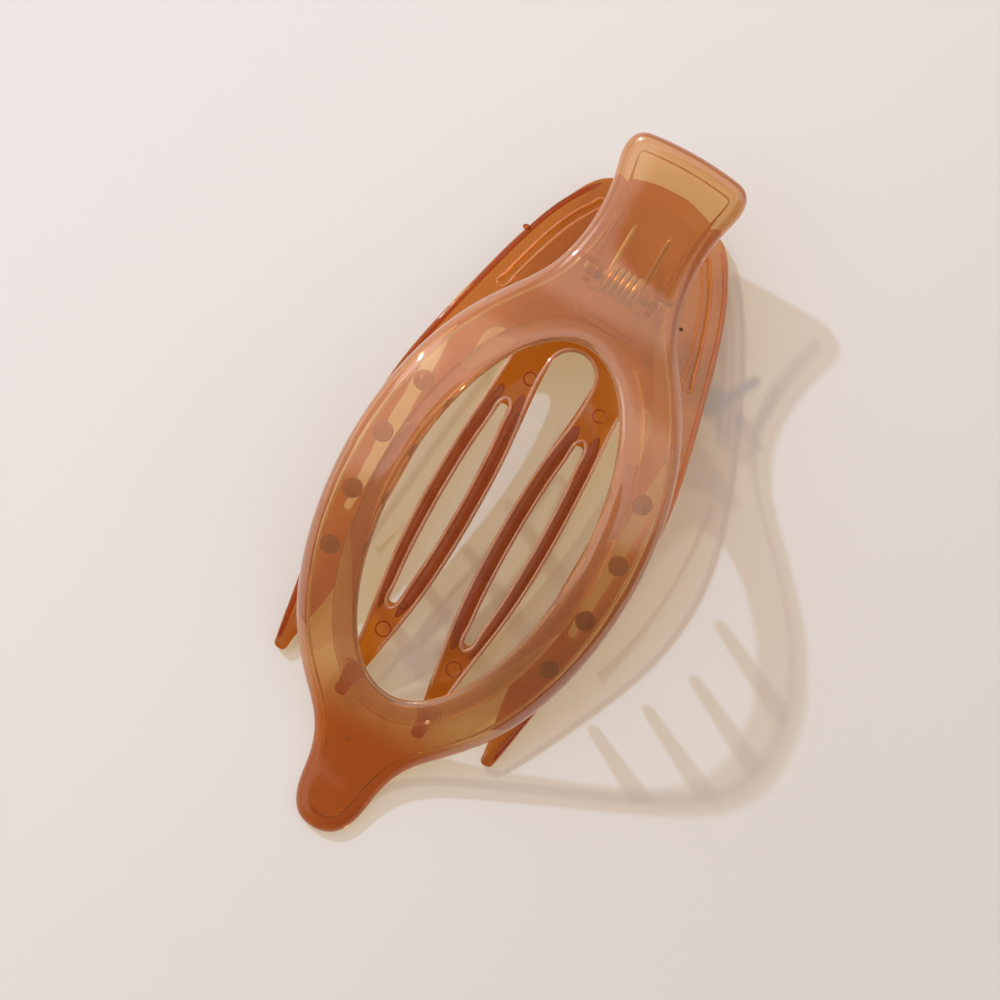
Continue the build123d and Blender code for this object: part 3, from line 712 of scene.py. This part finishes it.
def ring_mark(name, x, y, radius):
    """Small raised ring on the comb: a torus whose middle line follows the comb's skin a little above it."""
    ring_cos, ring_sin = round_circle(ring_sides)
    out, up = (ring_wire * wave[:, None] for wave in round_circle(ring_wire_sides))
    ring_x, ring_y = x + (radius + out) * ring_cos, y + (radius + out) * ring_sin
    share = (ring_y - comb_front) / comb_length
    ring_z = comb_height(ring_x.ravel(), share.ravel()).reshape(ring_x.shape) + ring_wire * ring_lift + up
    points = np.dstack([ring_x, ring_y, ring_z])
    closed_surface(name, points * mm, lower_plastic, "lower")


for number, (x, y, radius) in enumerate(ring_marks, 1):
    ring_mark(f"mould_ring_{number}", x, y, radius)

pip_sides, pip_levels = 15, 11


def pip(name, middle, half_axes, material, body):
    """Small round lump: an ellipsoid, which is a ball of unit radius stretched by its half axes."""
    ball_cos, ball_sin = round_circle(pip_sides)
    climb = np.radians(np.linspace(-90, 90, pip_levels))[:, None]
    level = np.repeat(np.sin(climb), pip_sides, axis=1)
    ball = np.dstack([np.cos(climb) * ball_cos, np.cos(climb) * ball_sin, level])
    points = np.array(middle) + ball * np.array(half_axes)
    closed_surface(name, points * mm, material, body, wrap_rows=False)


shade = Shade(bpy.data.materials.new("dark_speck"))
place = shade.node("ShaderNodeTexCoord", out="Object")
dark_speck = shade.finish(shade.node("ShaderNodeBsdfPrincipled", {}, {
    "Base Color": shade.colours(shade.noise(place, 4000), (0.05, 0.02, 0.01), (0.10, 0.05, 0.03)),
    "Roughness": 0.5,
}))
pip("gate_nub", (-18.95, 41.3, 5.0), (0.75, 0.55, 0.5), lower_plastic, "lower")
pip("comb_speck", (12.2, 39.2, 6.35), (0.4, 0.28, 0.12), dark_speck, "lower")
pip("nose_speck", (-2.4, -48.8, 5.3), (0.22, 0.16, 0.08), dark_speck, "upper")


# Hinge pin. A length of drawn steel wire, bright but slightly dull with handling oil. It runs through the
# four ears and holds the jaws together.
dull_steel, bright_steel = (0.66, 0.52, 0.30), (0.80, 0.68, 0.46)
steel_polish, oil_film = 0.22, 0.2
shade = Shade(bpy.data.materials.new("drawn_steel"))
place = shade.node("ShaderNodeTexCoord", out="Object")
oil = shade.noise(place, 1200, detail=3)
drawn_steel = shade.finish(shade.node("ShaderNodeBsdfPrincipled", {}, {
    "Base Color": shade.colours(oil, dull_steel, bright_steel), "Metallic": 1.0,
    "Roughness": steel_polish + oil_film * oil,
}))
frame["nodes"]["hinge_pin"].material_slots[0].material = drawn_steel


# Spring. Brass-coloured steel wire wound in five turns round the pin, with one leg under the lever and one on
# the comb's tail.
wire_radius, coil_radius, coil_pitch, coil_turns = 0.5, 2.4, 1.15, 5
leg_reach, leg_rise, leg_fall = 11.0, 5.87, 7.75
coil_steps, leg_steps, wire_sides = 190, 16, 12
tip_taper = np.array([0, 0.75])

# Each leg leaves the coil on a tangent, so it slopes by the slope to its end less what the coil's radius
# takes up.
rise_slope = np.arctan2(leg_rise, leg_reach) - np.arcsin(coil_radius / np.hypot(leg_rise, leg_reach))
fall_slope = np.arctan2(leg_fall, leg_reach) - np.arcsin(coil_radius / np.hypot(leg_fall, leg_reach))
winding = 2 * np.pi * coil_turns + np.pi - rise_slope - fall_slope
coil_length = coil_pitch * winding / (2 * np.pi)
wound = np.linspace(0, 1, coil_steps)
coil_angle = -np.pi / 2 - fall_slope - winding * wound
spoke = np.column_stack([np.zeros(coil_steps), np.cos(coil_angle), np.sin(coil_angle)])
pin_point = np.column_stack([
    coil_length * (wound - 0.5), np.full(coil_steps, hinge_y), np.full(coil_steps, hinge_z),
])
coil = pin_point + coil_radius * spoke
reach = np.linspace(0, 1, leg_steps)[:, None]
lower_end = np.array([-coil_length / 2, hinge_y + leg_reach, hinge_z - leg_fall])
upper_end = np.array([coil_length / 2, hinge_y + leg_reach, hinge_z + leg_rise])
lower_leg = lower_end + reach[:-1] * (coil[0] - lower_end)
upper_leg = coil[-1] + reach[1:] * (upper_end - coil[-1])
wire = np.vstack([lower_leg, coil, upper_leg])

# Round the wire, its section stands on the spoke of the coil, made square to the wire, and on what is square
# to both.
outward = np.vstack([np.repeat(spoke[:1], leg_steps - 1, axis=0), spoke,
                     np.repeat(spoke[-1:], leg_steps - 1, axis=0)])
tangent = np.gradient(wire, axis=0)
tangent /= np.linalg.norm(tangent, axis=1)[:, None]
outward -= (outward * tangent).sum(axis=1)[:, None] * tangent
outward /= np.linalg.norm(outward, axis=1)[:, None]
beside = np.cross(tangent, outward)
full_wire = np.ones(len(wire) - 2 * len(tip_taper))
thickness = wire_radius * np.r_[tip_taper, full_wire, tip_taper[::-1]][:, None, None]
wire_cos, wire_sin = (wave[:, None] for wave in round_circle(wire_sides))
surface = wire[:, None] + thickness * (wire_cos * outward[:, None] + wire_sin * beside[:, None])
spring = closed_surface("spring_wire", surface * mm, drawn_steel, None, wrap_rows=False)
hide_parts("spring")
-coil_length / 2 * mm
coil_length / 2 * mm
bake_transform(spring)
